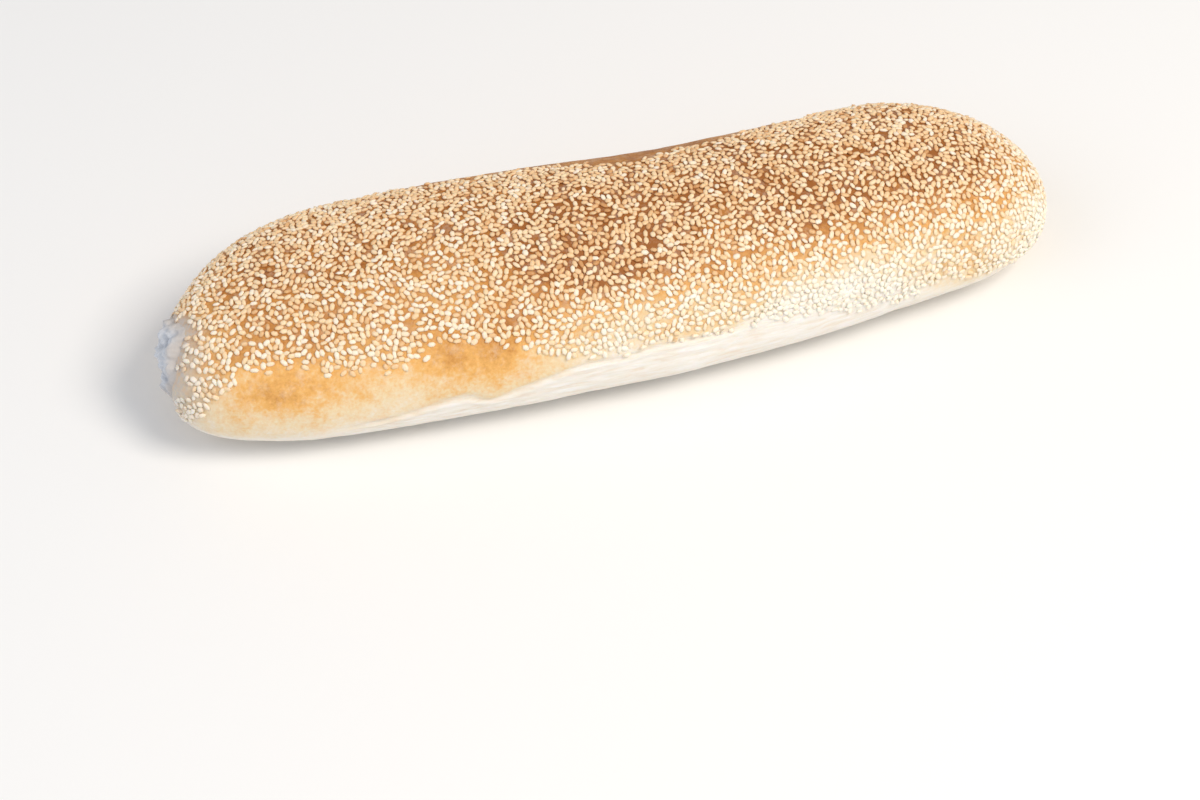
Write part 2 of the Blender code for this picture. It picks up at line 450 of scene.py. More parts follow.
@dataclass(frozen=True)
class BakeMap:
    """Where the crust browned, where it stayed pale and where the seeds stuck.

    The edges are curves of degrees round over places along the loaf; the browning, from 0 for raw
    dough to 1 for deep brown, is curves over degrees round.
    """

    front_edge: Curve = (
        (-0.176, 10.0), (-0.170, 14.0), (-0.162, 31.0), (-0.154, 39.0), (-0.136, 36.0),
        (-0.120, 30.0), (-0.096, 26.0), (-0.088, 28.0), (-0.080, 37.0), (-0.070, 33.0),
        (-0.050, 30.0), (-0.040, 19.0), (-0.026, 14.0), (0.055, 12.0), (0.078, 2.0),
        (0.118, -3.0), (0.130, 1.0), (0.145, -3.0), (0.162, -14.0), (0.175, -22.0),
    )
    back_edge: Curve = (
        (-0.176, 148.0), (-0.110, 148.0), (-0.070, 136.0), (-0.015, 130.0), (0.010, 116.0),
        (0.045, 124.0), (0.085, 134.0), (0.115, 150.0),
    )
    pale_edge: Curve = (
        (-0.172, -18.0), (-0.140, -14.0), (-0.120, -10.0), (-0.095, -5.0), (-0.071, 0.0),
        (-0.062, -4.0), (-0.048, 0.0), (-0.022, 9.0), (0.035, 11.0), (0.058, 22.0),
        (0.085, 25.0), (0.104, 16.0), (0.122, -6.0), (0.175, -26.0),
    )
    torn_half: Curve = (
        (-90.0, 0.44), (-60.0, 0.34), (-35.0, 0.13), (-5.0, 0.21), (12.0, 0.33),
        (35.0, 0.44), (50.0, 0.64), (64.0, 0.64), (88.0, 0.78), (150.0, 0.80),
        (185.0, 0.56), (215.0, 0.42), (270.0, 0.44),
    )
    plain_half: Curve = (
        (-90.0, 0.44), (-60.0, 0.34), (-35.0, 0.08), (5.0, 0.08), (25.0, 0.13),
        (36.0, 0.29), (46.0, 0.54), (62.0, 0.80), (88.0, 0.94), (150.0, 0.82),
        (185.0, 0.56), (215.0, 0.42), (270.0, 0.44),
    )
    turns_plain: Pair = (-0.060, 0.000)
    # Patches that browned more or less than the rest: place along, degrees round, reach along
    # and round, and how much more.
    patches: Rows = (
        (-0.165, 2.0, 0.012, 16.0, 0.14), (-0.146, 22.0, 0.018, 15.0, 0.15),
        (-0.122, 18.0, 0.018, 13.0, 0.09), (-0.097, 10.0, 0.015, 13.0, -0.10),
        (-0.080, 2.0, 0.020, 9.0, 0.08), (-0.076, 27.0, 0.013, 16.0, 0.22),
        (-0.056, 22.0, 0.012, 12.0, 0.16), (-0.052, 38.0, 0.016, 10.0, 0.17),
        (-0.070, 62.0, 0.015, 16.0, -0.14), (-0.016, 62.0, 0.030, 18.0, 0.22),
        (0.016, 18.0, 0.020, 9.0, 0.18), (0.040, 37.0, 0.014, 16.0, 0.14),
        (0.040, 62.0, 0.014, 16.0, -0.12), (0.072, 66.0, 0.018, 14.0, 0.10),
        (0.136, 10.0, 0.020, 28.0, 0.22), (0.178, 85.0, 0.012, 40.0, -0.35),
    )
    tip_pallor: float = 0.42
    tip_pallor_over: Pair = (0.142, 0.172)
    # At the very tips the seeded top reaches this much further round.
    tip_spread: float = 90.0
    tip_spread_power: int = 3
    edge_waver: float = 4.0
    edge_waver_length: float = 1 / 45
    pale_edge_waver: float = 0.6
    # How many degrees the pale side's edge fades over, by place along.
    pale_edge_softness: Curve = (
        (-0.110, 12.5), (-0.080, 3.5), (-0.030, 4.0), (0.010, 5.0), (0.045, 5.5),
        (0.080, 8.0), (0.110, 13.0),
    )
    # The pale side fades out between these where the loaf turns under.
    pale_turns_under: Pair = (-75.0, -45.0)

    def waver(self, x: Array, degrees: Array) -> Array:
        """Unevenness of the seeded top's edges, in degrees."""
        places = np.stack([x, np.radians(degrees) * self.edge_waver_length, 0 * x], axis=-1)
        return self.edge_waver * bumps(places, self.edge_waver_length)

    def seeded(self, x: Array, degrees: Array, girth: Array) -> Array:
        """Finds the seeded top.

        Args:
            x: Places along the loaf.
            degrees: Places round it.
            girth: Share of the full section left there.

        Returns:
            How many degrees each place lies inside the seeded top; negative outside it.
        """
        further = self.tip_spread * (1.0 - girth) ** self.tip_spread_power
        uneven = self.waver(x, degrees)
        from_front = degrees - (along_curve(self.front_edge, x) - further + uneven)
        from_back = along_curve(self.back_edge, x) + further + uneven - degrees
        return np.minimum(from_front, from_back)

    def above_pale_edge(self, x: Array, degrees: Array) -> Array:
        """How many degrees each place lies above the pale side's edge."""
        uneven = self.pale_edge_waver * self.waver(x, 0 * x)
        return degrees - along_curve(self.pale_edge, x) - uneven

    def pale(self, x: Array, degrees: Array) -> Array:
        """How far each place belongs to the pale side, from 0 to 1."""
        softness = along_curve(self.pale_edge_softness, x)
        front = 1.0 - smooth_step(-1.0, 1.0, self.above_pale_edge(x, degrees) / softness)
        return front * smooth_step(*self.pale_turns_under, degrees)

    def browning(self, x: Array, degrees: Array) -> Array:
        """How dark the crust baked.

        Args:
            x: Places along the loaf.
            degrees: Places round it.

        Returns:
            From 0 for raw dough to 1 for deep brown, at each place.
        """
        onwards = np.where(degrees < UNDERNEATH, degrees + FULL_TURN, degrees)
        plain = smooth_step(*self.turns_plain, x)
        level = along_curve(self.torn_half, onwards) * (1.0 - plain)
        level += along_curve(self.plain_half, onwards) * plain
        for place, centre, reach, reach_degrees, share in self.patches:
            along = (x - place) / reach
            around = (onwards - centre) / reach_degrees
            level = level + share * np.exp(-(along**2) - around**2)
        tips = smooth_step(*self.tip_pallor_over, np.abs(x))
        return level * (1.0 - self.tip_pallor * tips)


@dataclass(frozen=True)
class BakedCrust:
    """Crust of a white-bread loaf, baked in steam: thin, satin, freckled, with tiny blisters."""

    # Raw dough, straw, gold, orange-brown and chestnut, as an oven browns a white crust, and how
    # brown the crust is at each.
    raw: Colour = linear("f4eee3")
    straw: Colour = linear("f0d8ae")
    gold: Colour = linear("ecb568")
    amber: Colour = linear("c5863f")
    chestnut: Colour = linear("9c5f27")
    browned_at: tuple[float, ...] = (0.0, 0.25, 0.48, 0.78, 1.0)
    # The pale side stretched as it rose: white skin, drawn out into fibres with a pink-tan tint
    # between them.
    tinted: Colour = linear("eedfce")
    stretched: Colour = linear("fbf8f4")
    fibres_at: tuple[float, ...] = (0.30, 0.46, 0.66)
    flour: Colour = linear("eee6da")
    # Painted shade between the seeds, mixed into half-browned crust there.
    between_seeds_shade: Colour = linear("b0906c")
    # Grey round the torn spot, partly from scuffs and partly painted shade.
    scuffed_and_shaded: Colour = linear("c8c0b8")
    # Mottle, freckles and specks: how wide each is, and how far it swings the browning.
    grains_mm: Grains = ((14.0, 0.46), (3.2, 0.40), (1.3, 0.36))
    flour_mm: float = 5.0
    most_floured: float = 0.35
    fibre_mm: float = 1.9
    fibre_length: float = 7.0
    fibre_relief_mm: float = 0.5
    blister_mm: float = 1.6
    blister_relief_mm: float = 0.25
    roughness: Pair = (0.48, 0.72)
    # How grey the crust round the tear, from scuffs and painted shade, is where its surface is whole.
    least_scuffed: float = 0.55

    def material(self) -> bpy.types.Material:
        """Builds the material from the mesh's browning, pale side, greying and painted shade between
        seeds.

        Returns:
            The crust's material.
        """
        material, add = new_material("baked white-bread crust")
        place = add("ShaderNodeTexCoord").outputs["Object"]
        baked, pale, scuff_and_shade, gap_shade = (
            add("ShaderNodeAttribute", attribute_name=name).outputs["Fac"]
            for name in ("baked", "pale", "scuff_and_shade", "gap_shade")
        )
        skin = self._browned(add, place, baked)
        fibres = self._fibres(add, place)
        tints = zip(self.fibres_at, (self.tinted, self.raw, self.stretched))
        side = add("ShaderNodeValToRGB", {"Fac": fibres}, tints)
        # Painted shade between the seeds.
        dulled = add("ShaderNodeMix", {"Factor": gap_shade, MIX_A: skin, MIX_B: self.between_seeds_shade}, data_type="RGBA")
        sided = add("ShaderNodeMix", {"Factor": pale, MIX_A: dulled, MIX_B: side}, data_type="RGBA")
        blister = add(
            "ShaderNodeTexNoise",
            {"Vector": place, "Scale": per_metre(self.blister_mm), "Detail": 5.0, "Roughness": 0.6},
        )
        frayed = add(
            "ShaderNodeMapRange",
            {"Value": blister, "From Min": 0.4, "From Max": 0.6, "To Min": self.least_scuffed},
        )
        greyed = add("ShaderNodeMath", {0: scuff_and_shade, 1: frayed}, operation="MULTIPLY")
        # Grey round the torn spot: partly scuffs, partly painted shade.
        colour = add(
            "ShaderNodeMix", {"Factor": greyed, MIX_A: sided, MIX_B: self.scuffed_and_shaded}, data_type="RGBA"
        )
        drawn = add("ShaderNodeMath", {0: fibres, 1: pale}, operation="MULTIPLY")
        relief = add(
            "ShaderNodeBump",
            {"Height": drawn, "Strength": 0.8, "Distance": self.fibre_relief_mm * MM},
        )
        relief = add(
            "ShaderNodeBump",
            {
                "Height": blister, "Normal": relief,
                "Strength": 0.6, "Distance": self.blister_relief_mm * MM,
            },
        )
        smoothest, roughest = self.roughness
        shine = add("ShaderNodeMapRange", {"Value": blister, "To Min": smoothest, "To Max": roughest})
        shader = add(
            "ShaderNodeBsdfPrincipled",
            {
                "Base Color": colour, "Roughness": shine, "Normal": relief,
                "Specular IOR Level": 0.35, "Subsurface Weight": 0.12,
                "Subsurface Radius": (1.0, 0.55, 0.3), "Subsurface Scale": 1.2 * MM,
            },
        )
        add("ShaderNodeOutputMaterial", {"Surface": shader})
        return material

    def _browned(self, add: Adder, place: Socket, baked: Socket) -> Node:
        """Colours the baked skin: mottled, freckled and here and there dusted with flour.

        Args:
            add: Adds a node.
            place: Object coordinates.
            baked: How brown the crust is.

        Returns:
            The node that gives the skin's colour.
        """
        for grain_mm, swing in self.grains_mm:
            grain = add(
                "ShaderNodeTexNoise",
                {"Vector": place, "Scale": per_metre(grain_mm), "Detail": 4.0, "Roughness": 0.6},
            )
            swung = add("ShaderNodeMath", {0: grain, 1: swing, 2: -swing / 2}, operation="MULTIPLY_ADD")
            baked = add("ShaderNodeMath", {0: baked, 1: swung})
        colours = (self.raw, self.straw, self.gold, self.amber, self.chestnut)
        skin = add("ShaderNodeValToRGB", {"Fac": baked}, zip(self.browned_at, colours))
        dust = add(
            "ShaderNodeTexNoise",
            {"Vector": place, "Scale": per_metre(self.flour_mm), "Detail": 6.0, "Roughness": 0.75},
        )
        dusted = add(
            "ShaderNodeMapRange",
            {"Value": dust, "From Min": 0.50, "From Max": 0.75, "To Max": self.most_floured},
        )
        return add(
            "ShaderNodeMix", {"Factor": dusted, MIX_A: skin, MIX_B: self.flour}, data_type="RGBA"
        )

    def _fibres(self, add: Adder, place: Socket) -> Node:
        """Draws the stretched dough, in fibres many times as long along the loaf as across it.

        Args:
            add: Adds a node.
            place: Object coordinates.

        Returns:
            The node that gives the pattern.
        """
        along = add("ShaderNodeMapping", {"Vector": place, "Scale": (1 / self.fibre_length, 1.0, 1.0)})
        return add(
            "ShaderNodeTexNoise",
            {
                "Vector": along, "Scale": per_metre(self.fibre_mm),
                "Detail": 5.0, "Roughness": 0.62, "Distortion": 0.4,
            },
        )


@dataclass(frozen=True)
class TornCrumb:
    """White crumb where the crust tore off, darkened to a cool grey by painted shade: matt, full of small
    air cells.
    """

    # The crumb's colours hold painted shade: white crumb shown cool grey, and darker in its hollows.
    crumb: Colour = linear("d2d5da")
    shade: Colour = linear("a6a9b0")
    rim: Colour = linear("c5beb8")
    cloud_mm: float = 5.0
    cloud_share: float = 0.6
    # The tone at which the crumb is fully shaded, and fully bright.
    crumb_at: Pair = (0.35, 1.0)
    cell_mm: float = 1.7
    cell_relief_mm: float = 0.6
    fuzz_mm: float = 0.7
    fuzz_relief_mm: float = 0.3
    roughness: float = 0.9

    def material(self) -> bpy.types.Material:
        """Builds the material, which reads the mesh's rim and raised attributes.

        Returns:
            The crumb's material.
        """
        material, add = new_material("torn white-bread crumb")
        place = add("ShaderNodeTexCoord").outputs["Object"]
        rim, raised = (
            add("ShaderNodeAttribute", attribute_name=name).outputs["Fac"]
            for name in ("rim", "raised")
        )
        cloud = add(
            "ShaderNodeTexNoise",
            {"Vector": place, "Scale": per_metre(self.cloud_mm), "Detail": 4.0, "Roughness": 0.6},
        )
        cells = add(
            "ShaderNodeTexVoronoi",
            {"Vector": place, "Scale": per_metre(self.cell_mm)},
            feature="SMOOTH_F1",
        )
        # Painted shade in the crumb's low spots and clouds.
        shaded = add(
            "ShaderNodeMath", {0: cloud, 1: self.cloud_share, 2: raised}, operation="MULTIPLY_ADD"
        )
        crumb = add("ShaderNodeValToRGB", {"Fac": shaded}, zip(self.crumb_at, (self.shade, self.crumb)))
        colour = add("ShaderNodeMix", {"Factor": rim, MIX_A: crumb, MIX_B: self.rim}, data_type="RGBA")
        fuzz = add(
            "ShaderNodeTexNoise",
            {"Vector": place, "Scale": per_metre(self.fuzz_mm), "Detail": 3.0},
        )
        fuzzy = add(
            "ShaderNodeBump",
            {"Height": fuzz, "Strength": 0.5, "Distance": self.fuzz_relief_mm * MM},
        )
        open_cells = add(
            "ShaderNodeBump",
            {
                "Height": cells, "Normal": fuzzy,
                "Strength": 0.5, "Distance": self.cell_relief_mm * MM,
            },
            invert=True,
        )
        shader = add(
            "ShaderNodeBsdfPrincipled",
            {
                "Base Color": colour, "Roughness": self.roughness, "Normal": open_cells,
                "Specular IOR Level": 0.2, "Subsurface Weight": 0.15,
                "Subsurface Radius": (1.0, 0.9, 0.8), "Subsurface Scale": 1.0 * MM,
            },
        )
        add("ShaderNodeOutputMaterial", {"Surface": shader})
        return material


@dataclass(frozen=True)
class HulledSesame:
    """Hulled sesame: waxy, slightly see-through, tanned by the oven and darker at its point."""

    name: str
    light: Colour
    mean: Colour
    dark: Colour
    point: Colour
    # The tone at which the dark, mean and light colours stand.
    tone_at: tuple[float, ...] = (0.12, 0.55, 1.0)
    # Seeds near the torn tip are greyed as the crust under them is: partly scuffs, partly painted shade.
    scuffed_and_shaded: Colour = linear("cdc6bf")
    most_greyed: float = 0.5
    grain_mm: float = 0.7
    grain_share: float = 0.25
    # The point darkens from this share of the way from the middle, up to this much.
    point_from: float = 0.55
    most_pointed: float = 0.55
    roughness: float = 0.42

    def material(self) -> bpy.types.Material:
        """Builds the material from the mesh's tone, place along each seed and greying near the tear.

        Returns:
            The seeds' material.
        """
        material, add = new_material(self.name)
        place = add("ShaderNodeTexCoord").outputs["Object"]
        tone, along, scuff_and_shade = (
            add("ShaderNodeAttribute", attribute_name=name).outputs["Fac"]
            for name in ("tone", "along", "scuff_and_shade")
        )
        grain = add(
            "ShaderNodeTexNoise",
            {"Vector": place, "Scale": per_metre(self.grain_mm), "Detail": 2.0},
        )
        mixed = add(
            "ShaderNodeMath", {0: grain, 1: self.grain_share, 2: tone}, operation="MULTIPLY_ADD"
        )
        tones = zip(self.tone_at, (self.dark, self.mean, self.light))
        body = add("ShaderNodeValToRGB", {"Fac": mixed}, tones)
        pointed = add(
            "ShaderNodeMapRange",
            {"Value": along, "From Min": self.point_from, "From Max": 1.0, "To Max": self.most_pointed},
        )
        tipped = add(
            "ShaderNodeMix", {"Factor": pointed, MIX_A: body, MIX_B: self.point}, data_type="RGBA"
        )
        # Greying near the torn tip: partly scuffs, partly painted shade.
        greyed = add("ShaderNodeMath", {0: scuff_and_shade, 1: self.most_greyed}, operation="MULTIPLY")
        colour = add(
            "ShaderNodeMix", {"Factor": greyed, MIX_A: tipped, MIX_B: self.scuffed_and_shaded}, data_type="RGBA"
        )
        shader = add(
            "ShaderNodeBsdfPrincipled",
            {
                "Base Color": colour, "Roughness": self.roughness,
                "Specular IOR Level": 0.4, "Subsurface Weight": 0.2,
                "Subsurface Radius": (1.0, 0.7, 0.4), "Subsurface Scale": 0.5 * MM,
            },
        )
        add("ShaderNodeOutputMaterial", {"Surface": shader})
        return material


class SeedKind(Enum):
    """The kinds of seed, from the palest to the most baked, with their finishes."""

    IVORY = HulledSesame("ivory hulled sesame", *map(linear, ("f9f3e6", "f9f0de", "faecd6", "d8bf98")))
    CREAM = HulledSesame("cream hulled sesame", *map(linear, ("faecd6", "f6dcb5", "f0cd9f", "c99f6e")))
    TOASTED = HulledSesame("toasted hulled sesame", *map(linear, ("f0cd9f", "e5b985", "cd9760", "b07846")))


@dataclass
class Crust:
    """The loaf's crust, as one closed mesh."""

    form: LoafForm
    bake: BakeMap
    tear: Tear
    finish: BakedCrust
    faces_round: int = 240
    faces_along: int = 378
    # The skin is even below the first of these levels and fully uneven above the second.
    uneven_over: Pair = (0.004, 0.012)
    skin: Grains = ((0.024, 0.0005), (0.008, 0.00022))
    skin_layer: float = 7.0
    # Folds along the pale side: degrees below its edge, and depth.
    folds: tuple[Pair, ...] = ((0.0, 0.0011), (6.0, 0.0005), (11.0, 0.0004))
    fold_width: float = 1.5
    folds_middle: float = -0.020
    folds_end: Pair = (0.080, 0.110)
    # The torn spot counts as this many degrees inside the seeded top, so that no seed sticks.
    torn_inside: float = -90.0
    tear_margin: float = 0.0004
    # Painted shade: the crust that shows between seeds is browned darker than bare crust beside them.
    gap_shade_browning: float = 0.18
    # Half-browned crust there is also dulled towards a painted shade colour; how brown it is, within how
    # much of that, and how strongly.
    dulled_at: float = 0.45
    dulled_within: float = 0.42
    gap_shade_dulling: float = 0.22
    gap_fade: float = 12.0

    def build(self) -> Piece:
        """Models the crust, marks its zones and dresses it.

        Returns:
            The finished piece, riding on the loaf's body in place of its solid.
        """
        mesh = mesh_from(lying_sphere(self.faces_round, self.faces_along), "crust")
        points = places_of(mesh.vertices)
        corners = corners_of(mesh)
        u = np.clip(points[:, 0], -1.0, 1.0)
        degrees = np.degrees(np.arctan2(points[:, 2], -points[:, 1]))
        points = self.form.surface(u, degrees)
        points += normals_of(points, corners) * self._relief(points, degrees)[:, None]
        points[:, 2] = np.maximum(points[:, 2], 0.0)
        points = np.round(points, KEPT_DIGITS)
        mesh.vertices.foreach_set("co", points.astype(np.float32).ravel())
        mesh.update()
        brown = self.bake.browning(points[:, 0], degrees)
        inside = self.bake.seeded(points[:, 0], degrees, self.form.girth(u))
        # Painted shade between the seeds: the crust there is browned darker, and half-browned crust is
        # dulled.
        gap_shade = smooth_step(0.0, self.gap_fade, inside)
        baked = brown * (1.0 + self.gap_shade_browning * gap_shade)
        dulled = np.clip(1.0 - np.abs(baked - self.dulled_at) / self.dulled_within, 0.0, 1.0)
        torn = self.tear.depth(points) > -self.tear_margin
        mark(mesh, "brown", brown)
        mark(mesh, "baked", baked)
        mark(mesh, "gap_shade", self.gap_shade_dulling * gap_shade * dulled)
        mark(mesh, "pale", self.bake.pale(points[:, 0], degrees))
        # Greying round the torn spot: partly scuffs, partly painted shade.
        mark(mesh, "scuff_and_shade", self.tear.scuffed_and_shaded(points))
        mark(mesh, "seeded", np.where(torn, self.torn_inside, inside))
        return add_piece(mesh, "crust", self.finish.material())

    def _relief(self, points: Array, degrees: Array) -> Array:
        """How far each vertex moves out of the smooth form.

        Args:
            points: The smooth form's vertices.
            degrees: Their places round the loaf.

        Returns:
            The rise of each vertex along its normal.
        """
        skin = rough(points, self.skin, self.skin_layer)
        above = self.bake.above_pale_edge(points[:, 0], degrees)
        ends = smooth_step(*self.folds_end, np.abs(points[:, 0] - self.folds_middle))
        for below, depth in self.folds:
            skin -= depth * (1 - ends) * np.exp(-(((above + below) / self.fold_width) ** 2))
        return skin * smooth_step(*self.uneven_over, points[:, 2])


@dataclass
class TornTip:
    """The torn stub on the tip: a ragged cap of crumb that stands out of the crust."""

    crust: Piece
    tear: Tear
    finish: TornCrumb
    faces_round: int = 144
    faces_out: int = 44
    rise: float = 0.0024
    thinnest: float = 0.0009
    rim_share: float = 0.16
    rim_sink: float = 0.0006
    root: float = 0.003
    rim_from: float = 0.62
    crumple: Grains = ((0.0075, 0.0024), (0.0034, 0.0018), (0.0016, 0.0011))
    crumple_layer: float = 1.0
    crumple_swing: float = 0.0026

    def build(self) -> Piece:
        """Models the cap on the crust and dresses it.

        Returns:
            The finished piece, riding on the loaf's body with the crust.
        """
        shape = bmesh.new()
        bmesh.ops.create_uvsphere(
            shape, u_segments=self.faces_round, v_segments=2 * self.faces_out, radius=1.0
        )
        unit = places_of(shape.verts)
        polar = np.arccos(np.clip(unit[:, 2], -1.0, 1.0)) / (math.pi / 2)
        share = 1.0 - np.abs(polar - 1.0)
        around = np.arctan2(unit[:, 1], unit[:, 0])
        across, upward, out = self.tear.axes()
        reach = share * self.tear.edge(around)
        flat = (np.cos(around) * reach)[:, None] * across + (np.sin(around) * reach)[:, None] * upward
        under = self._on_crust(self.tear.centre() + flat, out)
        full = 1.0 - smooth_step(1.0 - self.rim_share, 1.0, share)
        crumpled = rough(under, self.crumple, self.crumple_layer)
        crumpled = np.maximum(crumpled, self.thinnest - self.rise)
        height = np.where(polar > 1.0, -self.root * full, (self.rise + crumpled) * full) - self.rim_sink
        for vertex, place in zip(shape.verts, under + height[:, None] * out):
            vertex.co = place
        bmesh.ops.recalc_face_normals(shape, faces=shape.faces)
        mesh = mesh_from(shape, "torn_tip")
        mark(mesh, "rim", smooth_step(self.rim_from, 1.0, share))
        # Low spots of the crumple get the crumb's painted shade.
        mark(mesh, "raised", smooth_step(-self.crumple_swing, self.crumple_swing, crumpled))
        return add_piece(mesh, "torn_tip", self.finish.material())

    def _on_crust(self, places: Array, out: Array) -> Array:
        """Drops places onto the crust.

        Args:
            places: Places in front of it or behind it, one in each row.
            out: The way that they move along.

        Returns:
            Where each meets the crust.
        """
        vertices = [vertex.co for vertex in self.crust.data.vertices]
        polygons = [face.vertices[:] for face in self.crust.data.polygons]
        surface = BVHTree.FromPolygons(vertices, polygons)
        inwards = Vector(-out)
        starts = places + self.tear.reach * out
        return np.array([surface.ray_cast(Vector(start), inwards)[0] for start in starts])


@dataclass
class SeedCoat:
    """Thousands of sesame seeds stuck on the crust, as one joined mesh for each kind."""

    crust: Piece
    length: float = 0.0034
    width: float = 0.00195
    thickness: float = 0.0012
    point: float = 0.45
    sides: int = 8
    rings: int = 4
    spacing: float = 0.00199
    tries: int = 170000
    # How brown the crust is where each kind of seed begins, and where the last one ends.
    browned_limits: tuple[float, ...] = (0.0, 0.17, 1.03, 1.50)
    tone_spread: float = 0.30
    # How unevenly the seeds browned; the palest crust's seeds are all alike.
    bake_spread: float = 0.24
    full_spread_from: float = 0.45
    spread_limits: Pair = (-1.2, 2.5)
    tilt_degrees: float = 12.0
    turn_degrees: float = 32.0
    size_spread: float = 0.09
    smallest: float = 0.78
    largest: float = 1.25
    lift: Pair = (0.12, 0.34)
    sparse_size: float = 0.0050
    sparse_layer: float = 5.0
    sparse_over: Pair = (0.26, 0.50)
    sparse_share: float = 0.22
    worn_off: float = 0.8
    edge_degrees: float = 6.0
    seed: int = 23

    def build(self) -> list[Piece]:
        """Scatters the seeds and joins them by kind.

        Returns:
            The finished pieces.
        """
        draw = np.random.default_rng(self.seed)
        places, normals, baked, scuff_and_shade = self._spread(draw)
        towards = self._towards_nearest(places)
        spread = self.bake_spread * smooth_step(0.0, self.full_spread_from, baked)
        baked = baked + np.clip(draw.normal(0.0, 1.0, len(places)), *self.spread_limits) * spread
        sort = np.digitize(baked, self.browned_limits[1:-1])
        # Each kind's colours run from its lower limit's, light, to its upper limit's, dark.
        tone = 1.0 - np.interp(baked, self.browned_limits, range(len(self.browned_limits))) + sort
        tone = np.clip(tone + draw.normal(0.0, self.tone_spread, len(places)), 0.0, 1.0)
        made = []
        for number, kind in enumerate(SeedKind):
            chosen = sort == number
            given = (values[chosen] for values in (places, normals, towards, scuff_and_shade, tone))
            made.append(self._join(kind, *given, draw))
        return made

    def _spread(self, draw: np.random.Generator) -> tuple[Array, ...]:
        """Picks places on the seeded crust, no two nearer than the spacing.

        Args:
            draw: The source of random numbers.

        Returns:
            The places, the crust's normals there, how brown it is and how greyed by scuffs and painted
            shade.
        """
        places = places_of(self.crust.data.vertices)
        corners = corners_of(self.crust.data)
        inside, brown, pale, scuff_and_shade = map(self._marked, ("seeded", "brown", "pale", "scuff_and_shade"))
        a, b, c = (places[corners[:, i]] for i in range(3))
        area = np.linalg.norm(np.cross(b - a, c - a), axis=1) / 2
        area *= inside[corners[:, 0]] > -self.edge_degrees
        picked = draw.choice(len(corners), self.tries, p=area / area.sum())
        share = draw.random((self.tries, 2))
        share = np.where(share.sum(axis=1, keepdims=True) > 1, 1 - share, share)
        spots = a[picked] + share[:, :1] * (b - a)[picked] + share[:, 1:] * (c - a)[picked]
        chosen = self._apart(spots)
        spots, at = spots[chosen], corners[picked, 0][chosen]
        within = smooth_step(-self.edge_degrees, self.edge_degrees, inside[at])
        thin = bumps(spots, self.sparse_size, self.sparse_layer)
        bare = smooth_step(*self.sparse_over, thin)
        left = 1.0 - self.worn_off * scuff_and_shade[at] ** 2
        kept = draw.random(len(chosen)) < within * left * (1.0 - self.sparse_share * bare)
        at = at[kept]
        return spots[kept], normals_of(places, corners)[at], (brown * (1.0 - pale))[at], scuff_and_shade[at]

    def _marked(self, name: str) -> Array:
        """The numbers that the crust's vertices hold under a name."""
        held = self.crust.data.attributes[name].data
        return np.array([item.value for item in held], np.float32)

    def _apart(self, spots: Array) -> list[int]:
        """Chooses the spots that keep their distance from every one chosen earlier.

        Args:
            spots: Places, one in each row.

        Returns:
            The chosen ones' numbers.
        """
        cells: dict[tuple[int, int, int], list[int]] = {}
        chosen = []
        keys = np.floor(spots / self.spacing).astype(int)
        around = list(product((-1, 0, 1), repeat=3))
        limit = self.spacing**2
        for number, ((i, j, k), spot) in enumerate(zip(keys.tolist(), spots.tolist())):
            near = [n for di, dj, dk in around for n in cells.get((i + di, j + dj, k + dk), ())]
            if any(sum((p - q) ** 2 for p, q in zip(spots[n], spot)) < limit for n in near):
                continue
            cells.setdefault((i, j, k), []).append(number)
            chosen.append(number)
        return chosen

    def _template(self) -> tuple[Array, Array]:
        """Models one seed, lying along X with its point at +X.

        Returns:
            Its vertices and its triangles.
        """
        shape = lying_sphere(self.sides, self.rings)
        for vertex in shape.verts:
            vertex.co /= 1.0 + self.point * vertex.co.x
        low = min(vertex.co.x for vertex in shape.verts)
        high = max(vertex.co.x for vertex in shape.verts)
        bmesh.ops.translate(shape, verts=shape.verts, vec=(-(low + high) / 2, 0, 0))
        girth = max(abs(vertex.co.y) for vertex in shape.verts)
        size = (self.length / (high - low), self.width / 2 / girth, self.thickness / 2 / girth)
        bmesh.ops.scale(shape, verts=shape.verts, vec=size)
        mesh = mesh_from(shape, "seed")
        vertices, triangles = places_of(mesh.vertices), corners_of(mesh)
        bpy.data.meshes.remove(mesh)
        return vertices, triangles

    def _towards_nearest(self, places: Array) -> Array:
        """Finds each seed's nearest neighbour, which it lies across.

        Args:
            places: Where the seeds lie.

        Returns:
            The way from each place to its nearest neighbour.
        """
        tree = KDTree(len(places))
        for number, place in enumerate(places):
            tree.insert(place, number)
        tree.balance()
        return np.array([tree.find_n(place, 2)[1][0] - Vector(place) for place in places])

